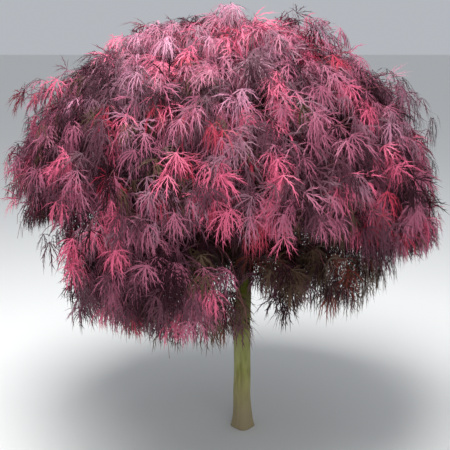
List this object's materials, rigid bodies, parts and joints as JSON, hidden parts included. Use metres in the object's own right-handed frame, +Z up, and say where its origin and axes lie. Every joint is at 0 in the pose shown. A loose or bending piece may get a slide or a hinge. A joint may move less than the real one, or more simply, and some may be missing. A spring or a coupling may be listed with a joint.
{
  "type": "weeping laceleaf maple tree",
  "caption": "Small grafted weeping maple rooted in the ground: a straight trunk under a domed crown of drooping, deeply cut purple-red leaves.",
  "frame": {"origin": "the middle of the flat cut under the trunk, at ground level", "axes": "+Z up the trunk, -Y towards the viewer of the picture, +X to the viewer's right"},
  "size_m": [1.5807, 1.5269, 1.6103],
  "materials": {
    "trunk_bark": "matt, shallowly ridged bark",
    "bough_bark": "matt, smooth young bark",
    "foliage_rose": "satin leaves",
    "foliage_plum": "satin leaves",
    "foliage_maroon": "satin leaves",
    "foliage_olive": "satin leaves"
  },
  "bodies": {
    "root": {"trunk": "trunk_bark", "leader": "bough_bark", "limb_1": "bough_bark", "shoulder_bough_1": "bough_bark", "skirt_bough_1": "bough_bark", "limb_2": "bough_bark", "shoulder_bough_2": "bough_bark", "skirt_bough_2": "bough_bark", "limb_3": "bough_bark", "shoulder_bough_3": "bough_bark", "skirt_bough_3": "bough_bark", "limb_4": "bough_bark", "shoulder_bough_4": "bough_bark", "skirt_bough_4": "bough_bark", "limb_5": "bough_bark", "shoulder_bough_5": "bough_bark", "limb_6": "bough_bark", "shoulder_bough_6": "bough_bark", "skirt_bough_6": "bough_bark", "limb_7": "bough_bark", "shoulder_bough_7": "bough_bark", "limb_8": "bough_bark", "shoulder_bough_8": "bough_bark", "skirt_bough_8": "bough_bark", "top_mass": "foliage_rose", "upper_mass_1": "foliage_rose", "shoulder_mass_1": "foliage_plum", "skirt_mass_1": "foliage_maroon", "upper_mass_2": "foliage_rose", "shoulder_mass_2": "foliage_plum", "skirt_mass_2": "foliage_maroon", "upper_mass_3": "foliage_rose", "shoulder_mass_3": "foliage_plum", "skirt_mass_3": "foliage_maroon", "upper_mass_4": "foliage_rose", "shoulder_mass_4": "foliage_plum", "skirt_mass_4": "foliage_maroon", "upper_mass_5": "foliage_rose", "shoulder_mass_5": "foliage_plum", "upper_mass_6": "foliage_rose", "shoulder_mass_6": "foliage_plum", "skirt_mass_6": "foliage_maroon", "upper_mass_7": "foliage_rose", "shoulder_mass_7": "foliage_plum", "upper_mass_8": "foliage_rose", "shoulder_mass_8": "foliage_plum", "skirt_mass_8": "foliage_maroon", "low_mass_1": "foliage_olive", "low_mass_2": "foliage_olive", "low_mass_3": "foliage_olive", "low_mass_4": "foliage_olive"}
  },
  "joints": []
}
